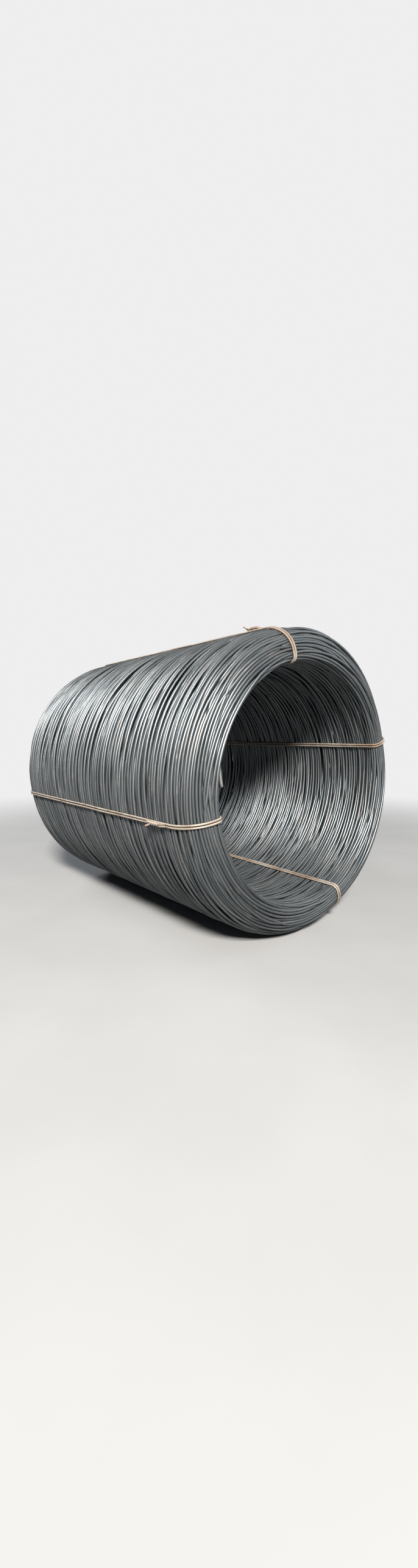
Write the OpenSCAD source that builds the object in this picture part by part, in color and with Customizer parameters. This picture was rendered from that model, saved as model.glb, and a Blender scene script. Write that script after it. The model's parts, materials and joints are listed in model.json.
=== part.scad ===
// Coil of hot-rolled wire rod lying on its side, held together by four double wire ties.
// The origin is on the floor under the middle of the coil. +Y runs along the axis of the coil,
// from its front end to its back end, and +Z is up.

/* [Coil] */
// Bore, across the crests of the innermost turns
bore_d = 850; // [700:5:1000]
// Thickness of the wound wall, from the bore to the outside
wall = 130; // [122:2:200]
// Length of the coil over both ends
coil_len = 1300; // [900:10:1600]
// Diameter of the rod
rod_d = 10; // [8:0.5:14]
// Distance from one turn to the next along the surface of the wall
turn_pitch = 11.5; // [9:0.1:13]
// Depth of the deepest turns below the outermost
gap_depth = 8; // [0:0.5:9]

/* [Rounded ends] */
// Radial depth of the rounded shoulder at the front end
front_depth = 95; // [70:5:105]
// Axial length of the rounded shoulder at the front end
front_len = 110; // [90:5:160]
// Radial depth of the rounded shoulder at the back end
back_depth = 85; // [70:5:105]
// Axial length of the rounded shoulder at the back end
back_len = 95; // [85:5:140]
// Radius of the edge between each end and the bore
edge_r = 24; // [18:1:32]

/* [Ties] */
// Diameter of the tie wire
tie_d = 6.5; // [5:0.5:8]
// Gap between the two strands of a tie
strand_gap = 1.5; // [0.5:0.5:3]
// Gap left between a tie and the crests of the turns under it
seat_gap = 0.3; // [0.1:0.1:0.5]
// Direction of the top tie, clockwise from straight up as seen from the front
top_tie_deg = -14; // [-25:1:15]
// Direction of the right tie
right_tie_deg = 72; // [55:1:100]
// Direction of the bottom tie
bottom_tie_deg = 158; // [140:1:160]
// Direction of the left tie
left_tie_deg = 260; // [235:1:266]

/* [Tie knots] */
// Distance of each knot behind the front shoulder
knot_back = 40; // [10:5:200]
// Length of the twist of a knot
knot_len = 42; // [25:1:60]
// Number of turns of the twist
knot_turns = 1.5; // [1:0.5:3]
// Depth by which the two twisted wires are pressed into each other
twist_press = 0.4; // [0.2:0.1:1]
// Depth by which the twist beds between the two strands
knot_bed = 1; // [0.5:0.1:2]
// Length of each cut wire end
cut_end_len = 22; // [12:1:30]

/* [Free rod end] */
// Distance of the free rod end from the front end of the coil
rod_end_pos = 45; // [40:5:200]
// Direction of its root in the wound wall, clockwise from straight up
rod_end_deg = 312; // [305:1:318]
// Depth of its root below the crests of the bore
rod_end_root = 6; // [4:1:10]
// Radius of its bend
rod_end_bend_r = 300; // [280:5:330]
// Angle of its bend
rod_end_sweep = 56.5; // [45:0.5:60]

/* [Hidden] */

$fn = 96;
bore_r = bore_d / 2;
outer_r = bore_r + wall;
half_len = coil_len / 2;
rod_r = rod_d / 2;
tie_r = tie_d / 2;
tie_off = tie_r + seat_gap;

// Number of flats on the section of a turn at the surface of the wall
turn_flats = 8;
// Swelling of the tie wire in its gentle bends, and twice that in its sharp ones
bend_swell = 0.03;
// Length by which a piece of tie wire runs on into the next
wire_lap = 1;
// Angles by which the cut wire ends of a knot stand up and spread apart
cut_end_lift = 32;
cut_end_splay = 14;
// Direction at which the large and the small arc of a shoulder meet
blend_deg = 35;
// Depth of one turn after another, as shares of gap_depth, and the share from which on a turn
// leaves the surface and an open gap shows in its place
depth_shares = [0, 0.35, 0.1, 0.95, 0, 0.5, 0.15, 1, 0.05, 0.3, 0, 0.75, 0.2];
open_gap_share = 0.9;

// Radii [large, small] of the two tangent arcs that make a shoulder of this depth and length
function shoulder_radii(depth, len) =
    let (s = sin(blend_deg), c = cos(blend_deg), det = s * c - (1 - s) * (1 - c))
    [(len * c - depth * (1 - s)) / det, (depth * s - len * (1 - c)) / det];

// Centres of the arcs, in the plane of radius and distance along the axis
function large_centre(radii, len) = [outer_r - radii[0], half_len - len];
function small_centre(radii, len) =
    large_centre(radii, len) + (radii[0] - radii[1]) * [cos(blend_deg), sin(blend_deg)];
edge_centre = [bore_r + edge_r, half_len - edge_r];

// Turns along a straight run from its first one on, without its end, as
// [radius, place on the axis, facing]
function run_turns(a, b, facing, first) =
    let (n = max(1, ceil(norm(b - a) / turn_pitch)))
    [for (i = [first : 1 : n - 1]) let (p = a + (b - a) * i / n) [p[0], p[1], facing]];

// Turns along an arc, without its end
function arc_turns(centre, r, from, to) =
    let (n = max(1, ceil(r * abs(to - from) * PI / 180 / turn_pitch)))
    [for (i = [0 : n - 1])
        let (t = from + (to - from) * i / n, p = centre + r * [cos(t), sin(t)]) [p[0], p[1], t]];

// Turns round one end, from the bore to the outside, with the turns where they begin
function end_turns(depth, len) =
    let (radii = shoulder_radii(depth, len),
         small = small_centre(radii, len),
         large = large_centre(radii, len),
         face = half_len - rod_r)
    concat(
        arc_turns(edge_centre, edge_r - rod_r, 180, 90),
        run_turns([edge_centre[0], face], [small[0], face], 90, 0),
        arc_turns(small, radii[1] - rod_r, 90, blend_deg),
        arc_turns(large, radii[0] - rod_r, blend_deg, 0),
        [[outer_r - rod_r, half_len - len, 0]]);

function flipped(turns) =
    [for (i = [len(turns) - 1 : -1 : 0]) [turns[i][0], -turns[i][1], -turns[i][2]]];

bore_turns = run_turns(
    [bore_r + rod_r, edge_r - half_len],
    [bore_r + rod_r, half_len - edge_r],
    180,
    1);
outside_turns = run_turns(
    [outer_r - rod_r, half_len - front_len],
    [outer_r - rod_r, back_len - half_len],
    0,
    1);
outline_turns = concat(
    bore_turns,
    end_turns(front_depth, front_len),
    outside_turns,
    flipped(end_turns(back_depth, back_len)));

// The same turns, each of them let into the wall by its own share of the depth, which comes last
all_turns = [
    for (i = [0 : len(outline_turns) - 1])
        let (turn = outline_turns[i],
             share = depth_shares[i % len(depth_shares)],
             depth = share * gap_depth)
        [turn[0] - depth * cos(turn[2]), turn[1] - depth * sin(turn[2]), turn[2], share]];

// Lays the coil down, so that its axis lies along Y at the height of its centre
module lay_down() {
    translate([0, 0, outer_r])
        rotate([90, 0, 0])
            children();
}

// Section of the wound wall: the packed wall, and the turns that show along its outline
module wall_section() {
    polygon([for (turn = all_turns) [turn[0], turn[1]]]);
    for (turn = all_turns)
        if (turn[3] < open_gap_share)
            translate([turn[0], turn[1]])
                rotate(turn[2] + 180 / turn_flats)
                    circle(r = rod_r / cos(180 / turn_flats), $fn = turn_flats);
}

// The end of the rod, which leaves the wall and hangs free in the bore
module free_rod_end() {
    rotate([0, 0, 90 - rod_end_deg])
        translate([bore_r + rod_r + rod_end_root - rod_end_bend_r, 0, half_len - rod_end_pos])
            rotate_extrude(angle = rod_end_sweep)
                translate([rod_end_bend_r, 0])
                    circle(r = rod_r, $fn = 24);
}

module rod_coil() {
    color([0.42, 0.47, 0.51])
        lay_down() {
            rotate_extrude()
                wall_section();
            free_rod_end();
        }
}

// Wire along a straight path, which runs on into the bends at both of its ends
module wire_run(a, b) {
    step = b - a;
    translate([a[0], a[1], 0])
        rotate([0, 0, atan2(step[1], step[0])])
            translate([-wire_lap, 0, 0])
                rotate([0, 90, 0])
                    cylinder(h = norm(step) + 2 * wire_lap, r = tie_r - 2 * bend_swell, $fn = 24);
}

module wire_bend(centre, r, from, to, wire_r) {
    translate([centre[0], centre[1], 0])
        rotate([0, 0, from])
            rotate_extrude(angle = to - from)
                translate([r, 0])
                    circle(r = wire_r, $fn = 24);
}

// Wire round one end, from the bore to the outside
module wire_end(depth, len) {
    radii = shoulder_radii(depth, len);
    small = small_centre(radii, len);
    large = large_centre(radii, len);
    large_r = radii[0] + tie_off;
    lap_deg = wire_lap / large_r * 180 / PI;
    wire_bend(edge_centre, edge_r + tie_off, 90, 180, tie_r);
    wire_run([edge_centre[0], half_len + tie_off], [small[0], half_len + tie_off]);
    wire_bend(small, radii[1] + tie_off, blend_deg, 90, tie_r);
    wire_bend(large, large_r, 0, blend_deg + lap_deg, tie_r - bend_swell);
}

// One closed loop of tie wire round the wall
module strand() {
    wire_run([bore_r - tie_off, edge_r - half_len], [bore_r - tie_off, half_len - edge_r]);
    wire_end(front_depth, front_len);
    wire_run([outer_r + tie_off, back_len - half_len], [outer_r + tie_off, half_len - front_len]);
    mirror([0, 1, 0])
        wire_end(back_depth, back_len);
}

// Twist that closes a tie, lying between its two strands, with its two cut ends
module knot() {
    spread = (tie_d + strand_gap) / 2;
    rise = sqrt(pow(tie_r + tie_d, 2) - pow(spread, 2)) - knot_bed;
    translate([outer_r + tie_off + rise, half_len - front_len - knot_back, 0])
        rotate([90, 0, 0]) {
            linear_extrude(height = knot_len, twist = 360 * knot_turns, slices = 24, $fn = 12)
                for (side = [-1, 1])
                    translate([0, side * (tie_r - twist_press)])
                        circle(r = tie_r, $fn = 12);
            for (side = [-1, 1])
                translate([0, side * tie_r, knot_len - tie_r])
                    rotate([-side * cut_end_splay, cut_end_lift, 0])
                        cylinder(h = cut_end_len, r = tie_r, $fn = 24);
        }
}

module tie(direction) {
    color([0.72, 0.62, 0.53])
        lay_down()
            rotate([0, 0, 90 - direction])
                rotate([90, 0, 0]) {
                    for (side = [-1, 1])
                        translate([0, 0, side * (tie_d + strand_gap) / 2])
                            strand();
                    knot();
                }
}

module tie_top() {
    tie(top_tie_deg);
}

module tie_right() {
    tie(right_tie_deg);
}

module tie_bottom() {
    tie(bottom_tie_deg);
}

module tie_left() {
    tie(left_tie_deg);
}

rod_coil();
tie_top();
tie_right();
tie_bottom();
tie_left();
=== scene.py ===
"""Coil of hot-rolled wire rod on its side: the rod laid turn by turn, its four wire ties, and the studio."""

import json
import logging
import math
from dataclasses import dataclass, field
from enum import Enum
from typing import Optional, Union

import bpy
import numpy as np
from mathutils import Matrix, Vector

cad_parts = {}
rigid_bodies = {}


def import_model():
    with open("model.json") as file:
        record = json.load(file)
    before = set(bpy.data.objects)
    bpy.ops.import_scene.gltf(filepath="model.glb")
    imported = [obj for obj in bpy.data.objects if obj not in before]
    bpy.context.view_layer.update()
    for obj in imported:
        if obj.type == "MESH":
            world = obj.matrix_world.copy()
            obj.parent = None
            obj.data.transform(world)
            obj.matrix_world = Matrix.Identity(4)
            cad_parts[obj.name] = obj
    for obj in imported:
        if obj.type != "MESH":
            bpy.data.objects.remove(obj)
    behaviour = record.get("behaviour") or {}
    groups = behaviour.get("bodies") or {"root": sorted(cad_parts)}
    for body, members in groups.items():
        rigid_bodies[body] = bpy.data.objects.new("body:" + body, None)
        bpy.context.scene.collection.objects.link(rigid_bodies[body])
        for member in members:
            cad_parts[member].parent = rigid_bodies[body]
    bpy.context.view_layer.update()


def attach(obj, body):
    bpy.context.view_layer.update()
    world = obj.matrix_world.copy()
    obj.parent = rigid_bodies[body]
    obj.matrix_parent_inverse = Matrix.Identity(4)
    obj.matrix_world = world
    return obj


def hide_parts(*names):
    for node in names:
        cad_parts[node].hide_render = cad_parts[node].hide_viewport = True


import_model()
BACKDROP = (0.86, 0.86, 0.86, 1.0)
LOG = logging.getLogger("wire_rod_coil")

Number = Union[int, float]
Colour = tuple[float, float, float]
Grain = tuple[float, float, float]
Span = tuple[float, float]
SocketValue = Union[Number, tuple, "Shade"]


class TieNode(Enum):
    """The wire ties, by the name of the CAD node that each one stands for."""

    TOP = "tie_top"
    RIGHT = "tie_right"
    BOTTOM = "tie_bottom"
    LEFT = "tie_left"


class Slot(Enum):
    """The record's material slots."""

    ROD = "rod"
    TIE_WIRE = "tie_wire"


# Shader maths


@dataclass(frozen=True)
class Shade:
    """A value on the surface, held by a socket, which adds its own Math nodes."""

    bench: "Bench"
    socket: bpy.types.NodeSocket

    def __add__(self, other: Union[Number, "Shade"]) -> "Shade":
        """This value plus another."""
        return self.bench.maths("ADD", self, other)

    def __radd__(self, other: Number) -> "Shade":
        """A number plus this value."""
        return self.bench.maths("ADD", other, self)

    def __sub__(self, other: Union[Number, "Shade"]) -> "Shade":
        """This value less another."""
        return self.bench.maths("SUBTRACT", self, other)

    def __rsub__(self, other: Number) -> "Shade":
        """A number less this value."""
        return self.bench.maths("SUBTRACT", other, self)

    def __mul__(self, other: Union[Number, "Shade"]) -> "Shade":
        """This value times another."""
        return self.bench.maths("MULTIPLY", self, other)

    def __rmul__(self, other: Number) -> "Shade":
        """A number times this value."""
        return self.bench.maths("MULTIPLY", other, self)

    def step(self, low: float, high: float) -> "Shade":
        """Rises smoothly from 0 to 1 as this value goes from low to high.

        Args:
            low: Value at and below which the result is 0.
            high: Value at and above which the result is 1.

        Returns:
            The stepped value.
        """
        settings = {"interpolation_type": "SMOOTHSTEP"}
        sockets = {"Value": self, "From Min": low, "From Max": high}
        return self.bench.node("ShaderNodeMapRange", settings, sockets, "Result")


class Bench:
    """The node tree of a material or a world, on which its look is laid out."""

    def __init__(self, owner: Union[bpy.types.Material, bpy.types.World]) -> None:
        """Empties the node tree.

        Args:
            owner: The material or world.
        """
        owner.use_nodes = True
        self.owner = owner
        self.tree = owner.node_tree
        self.tree.nodes.clear()

    def node(
        self,
        kind: str,
        settings: Optional[dict] = None,
        sockets: Optional[dict] = None,
        out: Union[int, str] = 0,
    ) -> Shade:
        """Adds one node.

        Args:
            kind: The node's type.
            settings: Its settings.
            sockets: Values or links, by the name or number of the input.
            out: The output that is wanted.

        Returns:
            The wanted output.
        """
        made = self.tree.nodes.new(kind)
        for name, value in (settings or {}).items():
            setattr(made, name, value)
        for name, value in (sockets or {}).items():
            if isinstance(value, Shade):
                self.tree.links.new(value.socket, made.inputs[name])
            else:
                made.inputs[name].default_value = value
        return Shade(self, made.outputs[out])

    def maths(self, operation: str, a: SocketValue, b: SocketValue) -> Shade:
        """Adds a Math node.

        Args:
            operation: What it does.
            a: Its first value.
            b: Its second value.

        Returns:
            The result.
        """
        return self.node("ShaderNodeMath", {"operation": operation}, {0: a, 1: b})

    def stored(self, name: str, out: str) -> Shade:
        """A value that the mesh holds at each of its points."""
        return self.node("ShaderNodeAttribute", {"attribute_name": name}, None, out)

    def spot(self) -> Shade:
        """The place in the piece's own coordinates."""
        return self.node("ShaderNodeTexCoord", None, None, "Object")

    def stretched(self, vector: Shade, factors: Grain) -> Shade:
        """A vector with each of its parts times its own factor."""
        return self.node("ShaderNodeVectorMath", {"operation": "MULTIPLY"}, {0: vector, 1: factors})

    def noise(self, vector: Shade, scale: float, detail: float = 2.0, roughness: float = 0.5) -> Shade:
        """Noise from 0 to 1 over a vector.

        Args:
            vector: Where it is read.
            scale: Its features in each unit.
            detail: Its octaves.
            roughness: The weight of the finer octaves.

        Returns:
            The noise.
        """
        sockets = {"Vector": vector, "Scale": scale, "Detail": detail, "Roughness": roughness}
        return self.node("ShaderNodeTexNoise", None, sockets, "Fac")

    def mixed(self, factor: SocketValue, a: Union[Colour, Shade], b: Union[Colour, Shade]) -> Shade:
        """Mixes two colours.

        Args:
            factor: The share of the second.
            a: The first colour.
            b: The second colour.

        Returns:
            The mixed colour.
        """
        a, b = ((*c, 1.0) if isinstance(c, tuple) else c for c in (a, b))
        return self.node("ShaderNodeMix", {"data_type": "RGBA"}, {0: factor, 6: a, 7: b}, 2)

    def dented(self, height: Shade, distance: float, strength: float = 1.0) -> Shade:
        """A normal that follows small heights on the surface.

        Args:
            height: The heights, from 0 to 1.
            distance: The depth in metres that 1 stands for.
            strength: The share of it that shows.

        Returns:
            The normal.
        """
        sockets = {"Strength": strength, "Distance": distance, "Height": height}
        return self.node("ShaderNodeBump", None, sockets, "Normal")

    def finished(self, surface: dict) -> bpy.types.Material:
        """Adds the surface shader and the material's output.

        Args:
            surface: Values or links of the surface shader's sockets.

        Returns:
            The material.
        """
        self.close(self.node("ShaderNodeBsdfPrincipled", None, surface))
        return self.owner

    def close(self, shader: Shade, kind: str = "ShaderNodeOutputMaterial") -> None:
        """Adds the output node and links a shader to it."""
        made = self.tree.nodes.new(kind)
        self.tree.links.new(shader.socket, made.inputs["Surface"])


# Finishes


@dataclass(frozen=True)
class MillScale:
    """Blue-grey scale of hot rolling, darker where thick, rubbed pale in places and touched with rust."""

    scale: Colour = (0.190, 0.206, 0.214)
    thick: Colour = (0.072, 0.086, 0.096)
    rubbed: Colour = (0.42, 0.405, 0.375)
    rust: Colour = (0.22, 0.165, 0.125)
    worn_end: Colour = (0.46, 0.46, 0.45)
    metal: float = 0.82
    shine: float = 0.46
    tint_grain: Grain = (1.1, 5.3, 0.0)
    streak_grain: Grain = (14.0, 9.1, 2.0)
    patch_grain: Grain = (1.7, 7.9, 0.0)
    speck_grain: float = 420.0
    thick_span: Span = (0.40, 0.68)
    rubbed_span: Span = (0.52, 0.66)
    rust_span: Span = (0.53, 0.72)
    most_rubbed: float = 0.42
    most_rust: float = 0.30
    pit_depth: float = 0.0003
    pit_strength: float = 0.35

    def material(self) -> bpy.types.Material:
        """Lays out the scale along the rod.

        Returns:
            The material.
        """
        bench = Bench(bpy.data.materials.new("mill_scale"))
        lay = bench.stored("lay", "Vector")
        worn = bench.stored("worn", "Fac")
        tint = bench.noise(bench.stretched(lay, self.tint_grain), 1.0, 2.0)
        streak = bench.noise(bench.stretched(lay, self.streak_grain), 1.0, 3.0, 0.6)
        patch = bench.noise(bench.stretched(lay, self.patch_grain), 1.0, 2.0)
        speck = bench.noise(bench.spot(), self.speck_grain, 3.0, 0.65)

        thick = (0.65 * tint + 0.35 * streak).step(*self.thick_span)
        colour = bench.mixed(thick, self.scale, self.thick)
        rubbed = (0.6 * streak + 0.4 * speck).step(*self.rubbed_span) * self.most_rubbed
        colour = bench.mixed(rubbed, colour, self.rubbed)
        rust = (0.6 * patch + 0.2 * streak + 0.2 * speck).step(*self.rust_span) * self.most_rust
        colour = bench.mixed(rust, colour, self.rust)
        colour = bench.mixed(worn * (0.55 + 0.45 * speck.step(0.4, 0.6)), colour, self.worn_end)
        return bench.finished(
            {
                "Base Color": colour,
                "Metallic": self.metal - 0.6 * rust,
                "Roughness": self.shine + 0.22 * rust + 0.16 * streak - 0.08,
                "Specular IOR Level": 0.5,
                "Normal": bench.dented(speck, self.pit_depth, self.pit_strength),
            }
        )


@dataclass(frozen=True)
class TieWireSkin:
    """Dull beige tie wire with light rust, darker in blotches."""

    dull: Colour = (0.285, 0.237, 0.19)
    pale: Colour = (0.39, 0.343, 0.29)
    rust: Colour = (0.17, 0.110, 0.072)
    run_grain: Grain = (9.0, 4.7, 1.5)
    speck_grain: float = 520.0
    blotch_grain: float = 11.0
    pale_span: Span = (0.35, 0.65)
    rust_span: Span = (0.46, 0.62)
    most_rust: float = 0.8
    pit_depth: float = 0.00025
    pit_strength: float = 0.4

    def material(self) -> bpy.types.Material:
        """Lays out the rust along the wire.

        Returns:
            The material.
        """
        bench = Bench(bpy.data.materials.new("tie_wire_skin"))
        spot = bench.spot()
        run = bench.noise(bench.stretched(bench.stored("lay", "Vector"), self.run_grain), 1.0, 3.0, 0.6)
        speck = bench.noise(spot, self.speck_grain, 3.0, 0.65)
        blotch = bench.noise(spot, self.blotch_grain, 2.0, 0.5)
        colour = bench.mixed(run.step(*self.pale_span), self.dull, self.pale)
        rust = (0.55 * blotch + 0.3 * run + 0.15 * speck).step(*self.rust_span)
        colour = bench.mixed(rust * self.most_rust, colour, self.rust)
        return bench.finished(
            {
                "Base Color": colour,
                "Metallic": 0.15,
                "Roughness": 0.52 + 0.25 * rust,
                "Normal": bench.dented(speck, self.pit_depth, self.pit_strength),
            }
        )


@dataclass(frozen=True)
class CutSteel:
    """Bright sheared face of a cut end, with the lines of the shears."""

    bright: Colour = (0.62, 0.61, 0.59)
    dark: Colour = (0.36, 0.35, 0.34)
    line_grain: Grain = (300.0, 300.0, 2600.0)
    dark_span: Span = (0.35, 0.65)
    line_depth: float = 0.0002
    line_strength: float = 0.4

    def material(self) -> bpy.types.Material:
        """Lays out the shear lines.

        Returns:
            The material.
        """
        bench = Bench(bpy.data.materials.new("cut_steel"))
        lines = bench.noise(bench.stretched(bench.spot(), self.line_grain), 1.0, 2.0)
        return bench.finished(
            {
                "Base Color": bench.mixed(lines.step(*self.dark_span), self.bright, self.dark),
                "Metallic": 0.85,
                "Roughness": 0.30 + 0.2 * lines,
                "Normal": bench.dented(lines, self.line_depth, self.line_strength),
            }
        )


@dataclass(frozen=True)
class PaleGround:
    """Matt pale floor, faintly mottled, which fades into the backdrop and throws little light back up."""

    light: Colour = (0.345, 0.345, 0.345)
    mottle: Colour = (0.33, 0.33, 0.33)
    thrown_back: Colour = (0.13, 0.13, 0.13)
    mottle_grain: float = 3.0
    mottle_span: Span = (0.3, 0.7)
    fade: Span = (1.6, 4.5)
    roughness: float = 0.85

    def material(self) -> bpy.types.Material:
        """Lays out the mottle.

        Returns:
            The material.
        """
        bench = Bench(bpy.data.materials.new("pale_ground"))
        spot = bench.spot()
        mottle = bench.noise(spot, self.mottle_grain, 3.0)
        colour = bench.mixed(mottle.step(*self.mottle_span), self.light, self.mottle)
        seen = bench.node("ShaderNodeLightPath", None, None, "Is Camera Ray")
        colour = bench.mixed(seen, self.thrown_back, colour)
        surface = {"Base Color": colour, "Roughness": self.roughness}
        matt = bench.node("ShaderNodeBsdfPrincipled", None, surface)
        plain = bench.node("ShaderNodeEmission", None, {"Color": BACKDROP, "Strength": 1.0})
        away = bench.node("ShaderNodeVectorMath", {"operation": "LENGTH"}, {0: spot}, "Value")
        share = away.step(*self.fade) * seen
        bench.close(bench.node("ShaderNodeMixShader", None, {0: share, 1: matt, 2: plain}))
        return bench.owner


# Swept rod and wire


def lengths_along(path: np.ndarray) -> np.ndarray:
    """Length along a path up to each of its points."""
    return np.concatenate([[0.0], np.cumsum(np.linalg.norm(np.diff(path, axis=0), axis=1))])


def turned_from(angle: np.ndarray, middle: float) -> np.ndarray:
    """Angles from a direction, the short way round."""
    return (angle - middle + math.pi) % (2 * math.pi) - math.pi


def eased(share: np.ndarray) -> np.ndarray:
    """Shares from 0 to 1, with a soft start and a soft end."""
    return share * share * (3 - 2 * share)


@dataclass
class Sweep:
    """A round rod swept along paths, each of them a closed tube whose cut ends may be rounded."""

    LANE_MARGIN = 0.04
    CAP_SPOT = (0.001, 0.001)

    radius: float
    sides: int

    def rings(self, path: np.ndarray, across: np.ndarray, rounded: tuple) -> np.ndarray:
        """Rings of points round a path.

        Args:
            path: The middle of the rod, one row a point.
            across: A direction across the rod, one for all points or one each.
            rounded: The share of the radius that is rounded off at each end.

        Returns:
            The rings, as points by sides by 3.
        """
        along = np.gradient(path, axis=0)
        along /= np.linalg.norm(along, axis=1, keepdims=True)
        flat = across - np.sum(across * along, axis=1, keepdims=True) * along
        flat /= np.linalg.norm(flat, axis=1, keepdims=True)
        other = np.cross(along, flat)
        radius = np.full(len(path), self.radius)
        middle = path.copy()
        for end, sign, share in ((0, 1, rounded[0]), (-1, -1, rounded[1])):
            if share > 0:
                inset = share * self.radius
                radius[end] -= inset
                middle[end + sign] = path[end] + sign * inset * along[end]
        turn = 2 * math.pi * np.arange(self.sides) / self.sides
        ring = np.cos(turn)[None, :, None] * flat[:, None] + np.sin(turn)[None, :, None] * other[:, None]
        return middle[:, None] + radius[:, None, None] * ring

    def mesh(self, name: str, tubes: list, lane: int) -> bpy.types.Mesh:
        """Builds one mesh of several tubes.

        Args:
            name: The mesh's name.
            tubes: For each tube its path, the directions across it, its first length along the rod and the
                shares by which its ends are rounded.
            lane: Samples to each lane of the map, in which the tubes are laid side by side.

        Returns:
            The mesh, with its lay along the rod and its map.
        """
        points, lays, quads, caps, places = [], [], [], [], []
        first, lanes_before = 0, 0
        for path, across, start, rounded in tubes:
            rings = self.rings(path, across, rounded)
            count = len(path)
            metres = start + lengths_along(path)
            side = np.arange(self.sides)
            lay = np.stack(
                [
                    np.repeat(metres, self.sides),
                    np.repeat(np.arange(count) / lane + lanes_before, self.sides),
                    np.tile(side / self.sides, count),
                ],
                axis=1,
            )
            ring = np.arange(count - 1)[:, None] * self.sides
            after = (side + 1) % self.sides
            corners = [ring + side, ring + after, ring + self.sides + after, ring + self.sides + side]
            quad = np.stack(corners, axis=2)
            quads.append(quad.reshape(-1, 4) + first)
            row = np.repeat(np.arange(count - 1) // lane + lanes_before, self.sides)
            at = np.repeat((np.arange(count - 1) % lane) / lane, self.sides)
            places.append(np.stack([row, at, np.tile(side, count - 1)], axis=1))
            caps.append(first + side[::-1])
            caps.append(first + (count - 1) * self.sides + side)
            points.append(rings.reshape(-1, 3))
            lays.append(lay)
            first += count * self.sides
            lanes_before += int(math.ceil((count - 1) / lane))
        made = self._filled(name, np.concatenate(points), np.concatenate(quads), np.array(caps))
        self._add_lay(made, np.concatenate(lays))
        self._add_map(made, np.concatenate(places), lane, lanes_before)
        return made

    def _filled(self, name: str, points: np.ndarray, quads: np.ndarray, caps: np.ndarray) -> bpy.types.Mesh:
        """Fills a mesh with points and faces.

        Args:
            name: The mesh's name.
            points: The points.
            quads: The four corners of each face of the walls.
            caps: The corners of each end face.

        Returns:
            The mesh.
        """
        made = bpy.data.meshes.new(name)
        made.vertices.add(len(points))
        made.vertices.foreach_set("co", points.astype(np.float32).ravel())
        corners = np.concatenate([quads.ravel(), caps.ravel()]).astype(np.int32)
        made.loops.add(len(corners))
        made.loops.foreach_set("vertex_index", corners)
        starts = np.concatenate(
            [np.arange(len(quads)) * 4, len(quads) * 4 + np.arange(len(caps)) * self.sides]
        ).astype(np.int32)
        made.polygons.add(len(starts))
        made.polygons.foreach_set("loop_start", starts)
        smooth = np.ones(len(starts), bool)
        smooth[len(quads):] = False
        made.polygons.foreach_set("use_smooth", smooth)
        made.update(calc_edges=True)
        made.validate()
        return made

    @staticmethod
    def _add_lay(made: bpy.types.Mesh, lay: np.ndarray) -> None:
        """Stores each point's place along the rod, its turn and its side."""
        held = made.attributes.new("lay", "FLOAT_VECTOR", "POINT")
        held.data.foreach_set("vector", lay.astype(np.float32).ravel())

    def _add_map(self, made: bpy.types.Mesh, places: np.ndarray, lane: int, lanes: int) -> None:
        """Lays the tubes out flat, turn beside turn.

        Args:
            made: The mesh.
            places: The lane, the place in it and the side of each wall face.
            lane: Samples to each lane.
            lanes: The number of lanes.
        """
        row, at, side = places.T
        width = 1 - 2 * self.LANE_MARGIN
        low = (row + self.LANE_MARGIN + width * side / self.sides) / lanes
        high = (row + self.LANE_MARGIN + width * (side + 1) / self.sides) / lanes
        near, far = at, at + 1 / lane
        walls = np.stack([near, low, near, high, far, high, far, low], axis=1)
        caps = np.zeros((len(made.loops) - 4 * len(places), 2))
        caps[:] = self.CAP_SPOT
        held = made.uv_layers.new(name="OFBake")
        held.data.foreach_set("uv", np.concatenate([walls.ravel(), caps.ravel()]).astype(np.float32))


def shown(name: str, mesh: bpy.types.Mesh, finishes: list) -> bpy.types.Object:
    """Puts a mesh into the scene.

    Args:
        name: The piece's name.
        mesh: Its mesh.
        finishes: Its materials.

    Returns:
        The piece.
    """
    piece = bpy.data.objects.new(name, mesh)
    for finish in finishes:
        mesh.materials.append(finish)
    bpy.context.scene.collection.objects.link(piece)
    return piece


# The wound wall


@dataclass(frozen=True)
class WallOutline:
    """The outline of the wound wall's section, as radii and places along the axis from the coil's middle."""

    bore_r: float = 0.425
    wall: float = 0.130
    half_len: float = 0.650
    front: tuple[float, float] = (0.095, 0.110)
    back: tuple[float, float] = (0.085, 0.095)
    edge_r: float = 0.024
    blend: float = math.radians(35)

    @property
    def outer_r(self) -> float:
        """Radius of the outside."""
        return self.bore_r + self.wall

    def _arcs(self, depth: float, length: float) -> list:
        """The arcs round one end, from the bore to the outside.

        Args:
            depth: Radial depth of the shoulder.
            length: Length of the shoulder along the axis.

        Returns:
            Centre, radius and first and last angle of each arc.
        """
        s, c = math.sin(self.blend), math.cos(self.blend)
        scale = s * c - (1 - s) * (1 - c)
        large = (length * c - depth * (1 - s)) / scale
        small = (depth * s - length * (1 - c)) / scale
        large_centre = (self.outer_r - large, self.half_len - length)
        small_centre = (large_centre[0] + (large - small) * c, large_centre[1] + (large - small) * s)
        edge_centre = (self.bore_r + self.edge_r, self.half_len - self.edge_r)
        return [
            (edge_centre, self.edge_r, math.pi, math.pi / 2),
            (small_centre, small, math.pi / 2, self.blend),
            (large_centre, large, self.blend, 0.0),
        ]

    def corners(self, out: float = 0.0, step: float = 0.004) -> np.ndarray:
        """Points along the outline, or along a line outside it.

        Args:
            out: How far outside it the line runs.
            step: Distance between points in the bends.

        Returns:
            Radius and place along the axis of each point, in order round the wall.
        """
        ends = []
        for depth, length in (self.front, self.back):
            line = []
            for centre, radius, begin, end in self._arcs(depth, length):
                r = radius + out
                count = max(4, int(math.ceil(r * abs(end - begin) / step)))
                turn = np.linspace(begin, end, count)
                line.append(np.stack([centre[0] + r * np.cos(turn), -centre[1] - r * np.sin(turn)], axis=1))
            ends.append(np.concatenate(line))
        back = ends[1][::-1] * (1, -1)
        return np.concatenate([ends[0], back])


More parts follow.
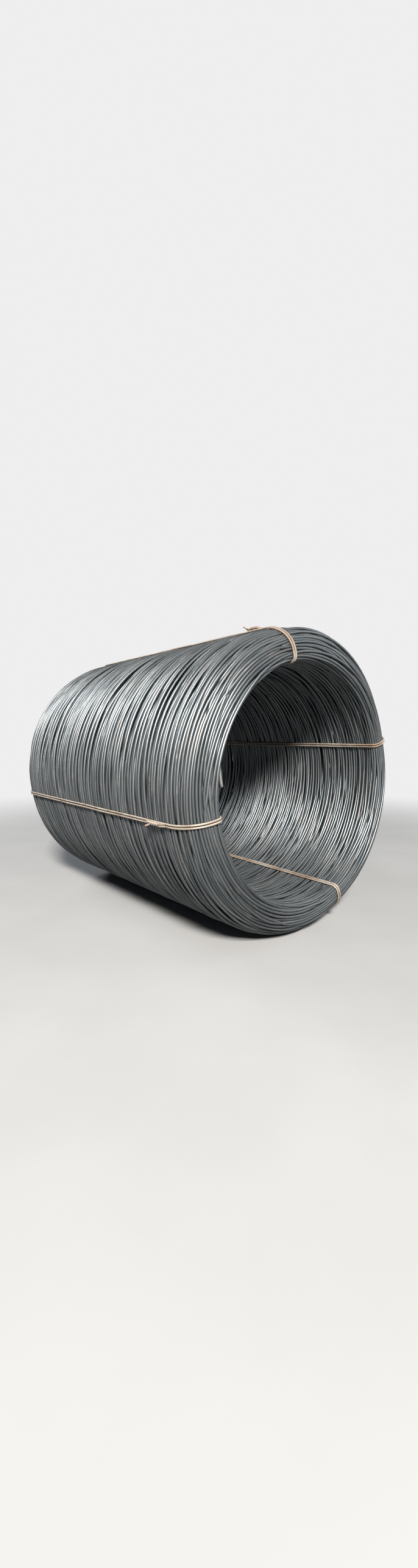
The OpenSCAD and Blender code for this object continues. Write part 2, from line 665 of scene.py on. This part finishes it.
class WallField:
    """Distances to the wall's outline on a grid, negative inside it."""

    STEP = 0.002
    MARGIN = 0.040
    FAR = 1e9
    NO_LENGTH = 1e-14
    LAST_CELL = 1.001

    def __init__(self, outline: WallOutline) -> None:
        """Measures the grid.

        Args:
            outline: The wall's outline.
        """
        line = outline.corners()
        self.low = line.min(0) - self.MARGIN
        high = line.max(0) + self.MARGIN
        axes = [np.arange(a, b, self.STEP) for a, b in zip(self.low, high)]
        r, y = np.meshgrid(*axes, indexing="ij")
        spots = np.stack([r.ravel(), y.ravel()], axis=-1)
        nearest = np.full(len(spots), self.FAR)
        inside = np.zeros(len(spots), bool)
        for a, b in zip(line, np.roll(line, -1, axis=0)):
            side = b - a
            if side @ side < self.NO_LENGTH:
                continue
            along = np.clip((spots - a) @ side / (side @ side), 0, 1)
            nearest = np.minimum(nearest, np.linalg.norm(spots - (a + along[:, None] * side), axis=1))
            if a[1] != b[1]:
                crosses = (b[1] > spots[:, 1]) != (a[1] > spots[:, 1])
                edge = (a[0] - b[0]) * (spots[:, 1] - b[1]) / (a[1] - b[1]) + b[0]
                inside ^= crosses & (spots[:, 0] < edge)
        self.distance = np.where(inside, -nearest, nearest).reshape(r.shape)
        self.slope_r, self.slope_y = np.gradient(self.distance, self.STEP)

    def read(self, r: np.ndarray, y: np.ndarray) -> tuple:
        """Reads the grid.

        Args:
            r: Radii.
            y: Places along the axis.

        Returns:
            The distance at each place and its slopes.
        """
        rows, columns = self.distance.shape
        a = np.clip((r - self.low[0]) / self.STEP, 0, rows - self.LAST_CELL)
        b = np.clip((y - self.low[1]) / self.STEP, 0, columns - self.LAST_CELL)
        i, j = a.astype(int), b.astype(int)
        u, v = a - i, b - j
        parts = []
        for grid in (self.distance, self.slope_r, self.slope_y):
            near = grid[i, j] * (1 - u) + grid[i + 1, j] * u
            far = grid[i, j + 1] * (1 - u) + grid[i + 1, j + 1] * u
            parts.append(near * (1 - v) + far * v)
        return tuple(parts)


@dataclass(frozen=True)
class LooseLoop:
    """A loop of the rod that stands out of the wall over part of its round, between two ties.

    It lies at a place behind the front end and crosses its neighbours at a tilt. It rises out of a surface
    that may lie a drop inside the wall's, and is tucked back in at both ends of its span.
    """

    place: float
    direction: float
    rise: float
    outside: bool = True
    tilt: float = 0.010
    span: float = math.radians(74)
    tuck: float = math.radians(40)
    drop: float = 0.0

    def hold(self, angle: np.ndarray) -> np.ndarray:
        """How firmly the rod follows the loop.

        Args:
            angle: Directions.

        Returns:
            The hold in each direction, from 0 to 1.
        """
        off = np.abs(turned_from(angle, math.radians(self.direction)))
        return eased(np.clip((self.span / 2 + self.tuck - off) / self.tuck, 0, 1))

    def line(self, angle: np.ndarray, surface_r: float, half_len: float, rod_r: float) -> tuple:
        """The loop's line.

        Args:
            angle: Directions.
            surface_r: Radius of the wall's surface that the loop leaves.
            half_len: Half the length of the coil.
            rod_r: Radius of the rod.

        Returns:
            Its radius and its place along the axis in each direction.
        """
        off = angle - math.radians(self.direction)
        out = 1.0 if self.outside else -1.0
        shift = self.rise / (1 - math.cos(self.span / 2))
        bend = surface_r + out * (self.rise - rod_r - shift)
        r = out * shift * np.cos(off) + np.sqrt(bend**2 - (shift * np.sin(off)) ** 2)
        return r, self.place - half_len + self.tilt * np.sin(off)


@dataclass
class RodCoil:
    """The rod, laid in eccentric loops from front to back and pushed apart until its turns bed together."""

    outline: WallOutline
    tie_angles: list
    height: float
    rod_d: float = 0.010
    turns: int = 672
    samples: int = 96
    start_angle: float = math.radians(312)
    precession: float = math.radians(67)
    precession_spread: float = math.radians(20)
    looseness: float = 0.05
    wander: float = 0.003
    end_wander: float = 0.009
    end_zone: float = 0.050
    end_crowd: float = 1.3
    tie_bite: float = 0.005
    tie_width: float = math.radians(15)
    passes: int = 80
    neighbours: int = 11
    apart: float = 1.02
    edge: float = 0.008
    end_ease: float = 1.2
    lag_every: int = 7
    swing_every: float = 2.3
    wander_every: float = 0.37
    push_share: float = 0.45
    calm_from: float = 0.7
    pinned: int = 4
    objects: int = 4
    sides: int = 6
    end_sides: int = 16
    end_pos: float = 0.045
    end_root: float = 0.006
    end_bend_r: float = 0.300
    end_sweep: float = math.radians(56.5)
    end_tail: int = 20
    end_rounded: float = 0.12
    end_points: int = 60
    worn_len: float = 0.058
    worn_fade: float = 0.008
    loose: tuple = (
        LooseLoop(0.040, 33, 0.014, True, 0.006, drop=0.021),
        LooseLoop(0.062, 27, 0.018, True, -0.008, drop=0.010),
        LooseLoop(0.088, 36, 0.022, True, 0.010, drop=0.003),
        LooseLoop(0.112, 32, 0.021, True, -0.012),
        LooseLoop(0.150, 31, 0.013, True, 0.016),
        LooseLoop(0.215, 30, 0.008, True, -0.012),
        LooseLoop(0.290, 27, 0.011, True, -0.014),
        LooseLoop(0.470, 31, 0.009, True, 0.014),
        LooseLoop(0.760, 30, 0.008, True, -0.012),
        LooseLoop(1.060, 28, 0.007),
        LooseLoop(0.240, 304, 0.008, True, 0.014),
        LooseLoop(0.610, 301, 0.006, True, -0.012),
        LooseLoop(0.940, 304, 0.008),
        LooseLoop(0.520, 127, 0.008, True, 0.010, math.radians(40), math.radians(30)),
        LooseLoop(0.910, 129, 0.006, True, -0.012, math.radians(36), math.radians(30)),
        LooseLoop(0.286, 29, 0.006, False),
        LooseLoop(0.650, 303, 0.006, False, -0.012),
        LooseLoop(0.480, 115, 0.005, False),
        LooseLoop(0.880, 28, 0.006, False, -0.014),
    )
    seed: int = 5
    angle: np.ndarray = field(default_factory=lambda: np.zeros(0))
    r: np.ndarray = field(default_factory=lambda: np.zeros(0))
    y: np.ndarray = field(default_factory=lambda: np.zeros(0))

    def _drift(self, rng: np.random.Generator, turn: np.ndarray, every: float) -> np.ndarray:
        """Slow random change along the rod, with a spread of 1.

        Args:
            rng: The source of chance.
            turn: Turns along the rod.
            every: Turns between free values.

        Returns:
            The change at each place.
        """
        knots = np.arange(0, self.turns + 2 * every + 1, every)
        return np.interp(turn, knots, rng.normal(size=len(knots)))

    def _reach(self, wall: WallField, y: np.ndarray) -> tuple:
        """Smallest and largest radius at which a turn fits in the wall.

        Args:
            wall: The wall's distances.
            y: Places along the axis.

        Returns:
            The two radii at each place.
        """
        half = self.outline.half_len
        step, slack, places, nowhere = 0.001, 0.005, 261, 9.0
        across = np.linspace(step - half, half - step, places)
        radii = np.arange(self.outline.bore_r - slack, self.outline.outer_r + slack, step)
        grid_r, grid_y = np.meshgrid(radii, across, indexing="ij")
        fits = wall.read(grid_r, grid_y)[0] < -self.rod_d / 2
        least = np.where(fits, grid_r, nowhere).min(0)
        most = np.where(fits, grid_r, 0.0).max(0)
        some = fits.any(0)
        return np.interp(y, across[some], least[some]), np.interp(y, across[some], most[some])

    def _spread(self, share: np.ndarray) -> np.ndarray:
        """Spreads the turns over the length of the coil, closer together towards its two ends.

        Args:
            share: Share of the turns that lies before each place.

        Returns:
            The places along the axis.
        """
        half, places = self.outline.half_len - self.edge, 801
        y = np.linspace(-half, half, places)
        crowd = 1 + self.end_crowd * np.exp(-(((half - np.abs(y)) / self.end_zone) ** 2))
        before = np.concatenate([[0.0], np.cumsum((crowd[1:] + crowd[:-1]) / 2)])
        return np.interp(share, before / before[-1], y)

    def lay(self) -> None:
        """Lays the turns and lets them settle."""
        rng = np.random.default_rng(self.seed)
        wall = WallField(self.outline)
        count = self.turns * self.samples
        turn = np.arange(count) / self.samples
        self.angle = self.start_angle + 2 * math.pi * turn
        whole_turns = np.arange(self.turns + 1)
        drift = self._drift(rng, whole_turns, self.lag_every)
        lag = np.interp(turn, whole_turns, np.cumsum(self.precession + self.precession_spread * drift))
        phase = self.start_angle - math.pi + lag - lag[0]
        y = self._spread(turn / self.turns)
        y += (self.end_pos - self.edge) * np.exp(-((turn / self.end_ease) ** 2))
        least, most = self._reach(wall, y)
        swing = 1 - self.looseness * np.abs(self._drift(rng, turn, self.swing_every))
        r = (least + most) / 2 + (most - least) / 2 * swing * np.cos(self.angle - phase)
        near_end = np.exp(-(((self.outline.half_len - np.abs(y)) / self.end_zone) ** 2))
        wander = self.wander + (self.end_wander - self.wander) * near_end
        y += wander * self._drift(rng, turn, self.wander_every)
        bite = np.zeros(count)
        for tie in self.tie_angles:
            off = turned_from(self.angle, tie)
            bite = np.maximum(bite, self.tie_bite * np.exp(-((off / self.tie_width) ** 2)))
        held = self._held(r, y)
        self.r, self.y = self._settle(wall, r, y, self.rod_d / 2 + bite, held)

    def _held(self, r: np.ndarray, y: np.ndarray) -> tuple:
        """Chooses a stretch of the rod for each loose loop.

        Args:
            r: Radii along the rod.
            y: Places along the axis.

        Returns:
            How firmly each place is held, and the radius and place that it is held at.
        """
        firm, held_r, held_y = np.zeros_like(r), r.copy(), y.copy()
        half_round, radius_weight = self.samples // 2, 0.5
        for loop in self.loose:
            surface_r = (self.outline.outer_r if loop.outside else self.outline.bore_r) - loop.drop
            off = turned_from(self.angle, math.radians(loop.direction))
            middle = np.flatnonzero(np.abs(off) <= math.pi / self.samples)
            middle = middle[(middle > half_round) & (middle < len(r) - half_round)]
            far = np.abs(y[middle] - (loop.place - self.outline.half_len))
            far += radius_weight * np.abs(r[middle] - surface_r) + firm[middle]
            best = middle[int(np.argmin(far))]
            part = slice(best - half_round, best + half_round)
            hold = loop.hold(self.angle[part])
            line = loop.line(self.angle[part], surface_r, self.outline.half_len, self.rod_d / 2)
            firm[part] = np.maximum(firm[part], hold)
            held_r[part], held_y[part] = line
        return firm, held_r, held_y

    def _settle(
        self, wall: WallField, r: np.ndarray, y: np.ndarray, keep_in: np.ndarray, held: tuple
    ) -> tuple:
        """Pushes turns that touch apart and back inside the wall, and keeps the rod smooth.

        Args:
            wall: The wall's distances.
            r: Radii along the rod.
            y: Places along the axis.
            keep_in: How far inside the outline the middle of the rod stays.
            held: How firmly each place is held, and where.

        Returns:
            The settled radii and places.
        """
        firm, held_r, held_y = held
        r, y = r + firm * (held_r - r), y + firm * (held_y - y)
        r_laid, y_laid = r.copy(), y.copy()
        root_r = self.outline.bore_r + self.rod_d / 2 + self.end_root
        root_y = self.end_pos - self.outline.half_len
        for number in range(self.passes):
            push_r, push_y = self._pushes(r, y)
            r, y = r + push_r, y + push_y
            rounds = 3 if number < self.calm_from * self.passes else 1
            r = r_laid + self._smoothed(r - r_laid, rounds)
            y = y_laid + self._smoothed(y - y_laid, rounds)
            distance, slope_r, slope_y = wall.read(r, y)
            over = np.maximum(distance + keep_in, 0)
            r, y = r - over * slope_r, y - over * slope_y
            r, y = r + firm * (held_r - r), y + firm * (held_y - y)
            r[: self.pinned], y[: self.pinned] = root_r, root_y
        return r, y

    def _pushes(self, r: np.ndarray, y: np.ndarray) -> tuple:
        """How far each place is pushed by the turns that it touches.

        Args:
            r: Radii along the rod.
            y: Places along the axis.

        Returns:
            The pushes along the radius and the axis.
        """
        by_section = [a.reshape(self.turns, self.samples).T for a in (r, y)]
        order = np.argsort(by_section[1], axis=1)
        r_in, y_in = (np.take_along_axis(a, order, 1) for a in by_section)
        push_r, push_y = np.zeros_like(r_in), np.zeros_like(y_in)
        room, no_reach = self.apart * self.rod_d, 1e-10
        for gap in range(1, self.neighbours + 1):
            dr, dy = r_in[:, gap:] - r_in[:, :-gap], y_in[:, gap:] - y_in[:, :-gap]
            square = dr * dr + dy * dy
            reach = np.sqrt(np.maximum(square, no_reach))
            share = np.where(square < room * room, self.push_share * (room - reach) / reach, 0.0)
            push_r[:, gap:] += share * dr
            push_r[:, :-gap] -= share * dr
            push_y[:, gap:] += share * dy
            push_y[:, :-gap] -= share * dy
        out = []
        for push in (push_r, push_y):
            back = np.zeros_like(push)
            np.put_along_axis(back, order, push, 1)
            out.append(back.T.ravel())
        return tuple(out)

    @staticmethod
    def _smoothed(values: np.ndarray, rounds: int) -> np.ndarray:
        """Draws values along the rod towards their neighbours.

        Args:
            values: The values.
            rounds: How many times it is done.

        Returns:
            The smoother values.
        """
        for _ in range(rounds):
            calm = values.copy()
            calm[1:-1] = 0.5 * values[1:-1] + 0.25 * (values[:-2] + values[2:])
            values = calm
        return values

    def placed(self, angle: np.ndarray, r: np.ndarray, y: np.ndarray) -> np.ndarray:
        """Points in the frame.

        Args:
            angle: Directions, clockwise from straight up as seen from the front.
            r: Radii.
            y: Places along the axis.

        Returns:
            The points.
        """
        return np.stack([r * np.sin(angle), y + 0 * r, self.height + r * np.cos(angle)], axis=-1)

    def build(self, scale: bpy.types.Material, cut: bpy.types.Material) -> list:
        """Builds and dresses the turns and the free end.

        Args:
            scale: The rod's material.
            cut: The material of its cut faces.

        Returns:
            The pieces.
        """
        path = self.placed(self.angle, self.r, self.y)
        across = np.array([[0.0, 1.0, 0.0]])
        pieces = []
        per = self.turns // self.objects * self.samples
        sweep = Sweep(self.rod_d / 2, self.sides)
        metres = lengths_along(path)
        for number in range(self.objects):
            first = number * per if number else self.end_tail
            last = min((number + 1) * per + 1, len(path))
            name = f"rod_turns_{number + 1}"
            tube = (path[first:last], across, metres[first], (0.0, 0.0))
            mesh = sweep.mesh(name, [tube], self.samples)
            pieces.append(shown(name, mesh, [scale, cut]))
        pieces.append(self._free_end(path, scale, cut))
        for piece in pieces:
            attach(piece, "root")
            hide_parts("rod_coil")
        return pieces

    def _free_end(
        self, path: np.ndarray, scale: bpy.types.Material, cut: bpy.types.Material
    ) -> bpy.types.Object:
        """Builds the end that hangs free in the bore, with the rod's first stretch in the wall.

        Args:
            path: The rod's path.
            scale: The rod's material.
            cut: The material of its cut faces.

        Returns:
            The piece.
        """
        centre_r = self.outline.bore_r + self.rod_d / 2 + self.end_root - self.end_bend_r
        turn = np.linspace(self.end_sweep, 0, self.end_points)[:-1]
        start = self.start_angle - turn
        x = centre_r * math.sin(self.start_angle) + self.end_bend_r * np.sin(start)
        z = centre_r * math.cos(self.start_angle) + self.end_bend_r * np.cos(start)
        y = np.full(len(turn), self.end_pos - self.outline.half_len)
        free = np.stack([x, y, self.height + z], axis=1)
        whole = np.concatenate([free, path[: self.end_tail + 2]])
        tube = (whole, np.array([[0.0, 1.0, 0.0]]), 0.0, (self.end_rounded, 0.0))
        mesh = Sweep(self.rod_d / 2, self.end_sides).mesh("rod_free_end", [tube], self.samples)
        worn = np.clip((self.worn_len - lengths_along(whole)) / self.worn_fade + 0.5, 0, 1)
        held = mesh.attributes.new("worn", "FLOAT", "POINT")
        held.data.foreach_set("value", np.repeat(worn, self.end_sides).astype(np.float32))
        for face in mesh.polygons[-2:]:
            face.material_index = 1
        return shown("rod_free_end", mesh, [scale, cut])


# The ties


@dataclass(frozen=True)
class TiePlan:
    """Where one tie lies, how it leans over along the coil, and where its strands spread apart."""

    node: TieNode
    degrees: float
    skew: float = 0.0
    spread_at: tuple = ()


TIE_PLANS = (
    TiePlan(TieNode.TOP, -14.0, 0.0, ((-0.54, 0.006, 0.09),)),
    TiePlan(TieNode.RIGHT, 72.0),
    TiePlan(TieNode.BOTTOM, 158.0, -0.01, ((-0.55, 0.005, 0.08),)),
    TiePlan(TieNode.LEFT, 260.0),
)


@dataclass
class WireTie:
    """A double loop of tie wire round the wall, closed with a twist on the outside."""

    plan: TiePlan
    outline: WallOutline
    height: float
    seed: int
    wire_d: float = 0.0065
    bite: float = 0.005
    strand_gap: float = 0.0015
    wave: float = 0.0006
    wave_every: float = 0.12
    wave_fade: float = 0.05
    bore_side: float = 0.03
    sides: int = 12
    outline_step: float = 0.002
    step: float = 0.007
    lane: int = 64
    knot_back: float = 0.040
    knot_len: float = 0.042
    knot_turns: float = 1.75
    knot_points: int = 56
    lead: float = 0.030
    lead_depth: float = 0.001
    cut_len: float = 0.020
    cut_steps: int = 10
    cut_bend_steps: int = 4
    cut_lift: float = math.radians(32)
    cut_splay: Span = (14, 5)
    end_rounded: float = 0.12

    def _axes(self) -> tuple:
        """Finds the plane of the tie.

        Returns:
            The outward direction of its section and the direction across it.
        """
        angle = math.radians(self.plan.degrees)
        out = np.array([math.sin(angle), 0.0, math.cos(angle)])
        across = np.array([math.cos(angle), 0.0, -math.sin(angle)])
        return out, across

    def _placed(self, r: np.ndarray, y: np.ndarray, side: np.ndarray) -> np.ndarray:
        """Points in the frame.

        Args:
            r: Radii in the tie's section.
            y: Places along the axis.
            side: Distances across the section.

        Returns:
            The points.
        """
        out, across = self._axes()
        base, along = np.array([0.0, 0.0, self.height]), np.array([0.0, 1.0, 0.0])
        return base + r[:, None] * out + y[:, None] * along + side[:, None] * across

    @staticmethod
    def _stepped(line: np.ndarray, step: float) -> tuple:
        """A line with its points evenly stepped.

        Args:
            line: The line's points.
            step: The distance between two points that is wanted.

        Returns:
            The new points and their lengths along the line.
        """
        length = lengths_along(line)
        at = np.linspace(0, length[-1], int(length[-1] / step))
        return np.stack([np.interp(at, length, part) for part in line.T], axis=1), at

    def _loop(self) -> tuple:
        """The middle line of the loop, evenly stepped, from the knot round by the front and the bore.

        Returns:
            Radii, places along the axis and lengths along the loop.
        """
        line = self.outline.corners(self.wire_d / 2 - self.bite, self.outline_step)
        line = self._stepped(np.concatenate([line, line[:1]]), self.outline_step)[0][:-1]
        knot_y = self.outline.front[1] + self.knot_back + self.knot_len / 2 - self.outline.half_len
        start = int(np.argmax(line[:, 0] - np.abs(line[:, 1] - knot_y)))
        line = np.roll(line, -start, axis=0)
        line, at = self._stepped(np.concatenate([line, line[:1]]), self.step)
        return line[:, 0], line[:, 1], at

    def _half_gap(self, y: np.ndarray) -> np.ndarray:
        """Distance of each strand from the middle of the tie, on the outside of the wall.

        Args:
            y: Places along the axis.

        Returns:
            The distances.
        """
        opening = np.zeros(len(y))
        for place, width, reach in self.plan.spread_at:
            opening = np.maximum(opening, width * np.exp(-(((y - place) / reach) ** 2)))
        return (self.wire_d + self.strand_gap + opening) / 2

    def _strands(self) -> list:
        """The two strands.

        Returns:
            A path for each strand.
        """
        rng = np.random.default_rng(self.seed)
        r, y, at = self._loop()
        closed = (self.wire_d + self.strand_gap) / 2
        half = np.where(r > self.outline.bore_r + self.bore_side, self._half_gap(y), closed)
        from_knot = np.minimum(at, at[-1] - at) - self.lead - self.knot_len / 2
        fade = np.clip(from_knot / self.wave_fade, 0, 1)
        strands = []
        for side in (-1.0, 1.0):
            knots = np.arange(0, at[-1] + 2 * self.wave_every, self.wave_every)
            loose = np.interp(at, knots, self.wave * np.abs(rng.normal(size=len(knots)))) * fade
            lean = self.plan.skew * (y + self.outline.half_len)
            strands.append(self._placed(r, y, side * (half + loose) + lean))
        return strands

    def _knot(self) -> list:
        """The twist and its two cut ends.

        Returns:
            A path for each wire.
        """
        rng = np.random.default_rng(self.seed + 50)
        wire_r = self.wire_d / 2
        base_r = self.outline.outer_r + wire_r - self.bite
        front = self.outline.front[1] + self.knot_back - self.outline.half_len
        paths = []
        lift, splay = self.cut_lift, math.radians(self.cut_splay[0] + self.cut_splay[1] * rng.random())
        for side in (-1.0, 1.0):
            along = np.linspace(-self.lead, self.knot_len, self.knot_points)
            half = self._half_gap(front + along)
            rise = np.sqrt((wire_r + self.wire_d) ** 2 - half**2)
            turn = 2 * math.pi * self.knot_turns * np.clip(along, 0, None) / self.knot_len
            grow = eased(np.clip((along + self.lead) / self.lead, 0, 1))
            r = base_r - self.lead_depth * (1 - grow) + grow * (rise + side * wire_r * np.sin(turn))
            across = side * ((1 - grow) * half + grow * wire_r * np.cos(turn))
            lean = self.plan.skew * (front + along + self.outline.half_len)
            points = self._placed(r, front + along, across + lean)
            ahead = points[-1] - points[-2]
            ahead /= np.linalg.norm(ahead)
            out, over = self._axes()
            aim = np.array([0.0, math.cos(lift) * math.cos(splay), 0.0])
            aim = aim + out * math.sin(lift) + over * side * math.sin(splay)
            tail = [points[-1]]
            for number in range(self.cut_steps):
                blend = min(1.0, (number + 1) / self.cut_bend_steps)
                way = ahead * (1 - blend) + aim * blend
                tail.append(tail[-1] + way / np.linalg.norm(way) * self.cut_len / self.cut_steps)
            paths.append(np.concatenate([points, np.array(tail[1:])]))
        return paths

    def build(self, skin: bpy.types.Material, cut: bpy.types.Material) -> bpy.types.Object:
        """Builds and dresses the tie.

        Args:
            skin: The wire's material.
            cut: The material of its cut faces.

        Returns:
            The piece.
        """
        _, across = self._axes()
        tubes = [(path, across[None, :], 0.0, (0.0, 0.0)) for path in self._strands()]
        tubes += [(path, across[None, :], 0.0, (0.0, self.end_rounded)) for path in self._knot()]
        name = self.plan.node.value + "_wire"
        mesh = Sweep(self.wire_d / 2, self.sides).mesh(name, tubes, self.lane)
        for face in mesh.polygons[-8:]:
            face.material_index = 1
        piece = shown(name, mesh, [skin, cut])
        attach(piece, "root")
        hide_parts(self.plan.node.value)
        return piece


# The studio


@dataclass(frozen=True)
class SoftLamp:
    """A square lamp that hangs at one place and points at another."""

    name: str
    at: tuple
    aim: tuple
    size: float
    watts: float
    colour: Colour

    def hang(self) -> None:
        """Hangs the lamp in the scene."""
        light = bpy.data.lights.new(self.name, "AREA")
        light.size, light.energy, light.color = self.size, self.watts, self.colour
        lamp = bpy.data.objects.new(self.name, light)
        lamp.location = self.at
        lamp.rotation_mode = "QUATERNION"
        lamp.rotation_quaternion = (Vector(self.aim) - Vector(self.at)).to_track_quat("-Z", "Y")
        bpy.context.scene.collection.objects.link(lamp)


@dataclass
class Studio:
    """Pale floor, soft lamps and the camera at the photograph's viewing angle."""

    camera_at: tuple = (-1.363, -1.690, 0.724)
    aim_turn: float = math.radians(40.3)
    aim_down: float = math.radians(5.64)
    lens: float = 11.0
    sensor: float = 36.0
    sees: Span = (0.01, 200.0)
    floor_size: float = 60.0
    sky: float = 0.10
    sky_colour: tuple = (0.66, 0.83, 1.0, 1.0)
    lamps: tuple = (
        SoftLamp("key", (-4.8, -6.7, 5.9), (0.0, -0.3, 0.5), 1.6, 2700.0, (1.0, 0.962, 0.915)),
        SoftLamp("fill", (3.2, -2.4, 2.2), (0.0, 0.0, 0.5), 2.6, 40.0, (0.92, 0.96, 1.0)),
        SoftLamp("back", (-2.2, 4.4, 4.0), (0.0, 0.6, 0.9), 2.4, 160.0, (0.95, 0.98, 1.0)),
    )

    def floor(self) -> None:
        """Lays the floor."""
        half = self.floor_size / 2
        corners = [(-half, -half, 0), (half, -half, 0), (half, half, 0), (-half, half, 0)]
        mesh = bpy.data.meshes.new("floor")
        mesh.from_pydata(corners, [], [(0, 1, 2, 3)])
        shown("floor", mesh, [PaleGround().material()])

    def sky_light(self) -> None:
        """Sets soft light from all round, and the plain pale backdrop that the camera sees."""
        bench = Bench(bpy.data.worlds.new("studio_sky"))
        seen = bench.node("ShaderNodeLightPath", None, None, "Is Camera Ray")
        soft = bench.node("ShaderNodeBackground", None, {"Color": self.sky_colour, "Strength": self.sky})
        plain = bench.node("ShaderNodeBackground", None, {"Color": BACKDROP, "Strength": 1.0})
        both = bench.node("ShaderNodeMixShader", None, {0: seen, 1: soft, 2: plain})
        bench.close(both, "ShaderNodeOutputWorld")
        bpy.context.scene.world = bench.owner

    def camera(self) -> None:
        """Sets the camera."""
        data = bpy.data.cameras.new("camera")
        data.sensor_fit = "AUTO"
        data.sensor_width = self.sensor
        data.lens = self.lens
        data.clip_start, data.clip_end = self.sees
        made = bpy.data.objects.new("camera", data)
        level = math.cos(self.aim_down)
        ahead = (math.sin(self.aim_turn) * level, math.cos(self.aim_turn) * level, -math.sin(self.aim_down))
        made.rotation_mode = "QUATERNION"
        made.rotation_quaternion = Vector(ahead).to_track_quat("-Z", "Y")
        made.location = self.camera_at
        bpy.context.scene.collection.objects.link(made)
        bpy.context.scene.camera = made

    def build(self) -> None:
        """Sets up the whole studio."""
        self.floor()
        self.sky_light()
        for lamp in self.lamps:
            lamp.hang()
        self.camera()
        bpy.context.scene.view_settings.view_transform = "Standard"


def main() -> None:
    """Builds the coil, its ties and the studio, in order."""
    logging.basicConfig(level=logging.INFO, format="%(message)s")
    outline = WallOutline()
    height = outline.outer_r
    scale, cut, skin = MillScale().material(), CutSteel().material(), TieWireSkin().material()
    coil = RodCoil(outline, [math.radians(plan.degrees) for plan in TIE_PLANS], height)
    coil.lay()
    for piece in coil.build(scale, cut):
        LOG.info("built %s, %d faces", piece.name, len(piece.data.polygons))
    for seed, plan in enumerate(TIE_PLANS, start=20):
        piece = WireTie(plan, outline, height, seed).build(skin, cut)
        LOG.info("built %s, %d faces", piece.name, len(piece.data.polygons))
    Studio().build()


if __name__ == "__main__":
    main()
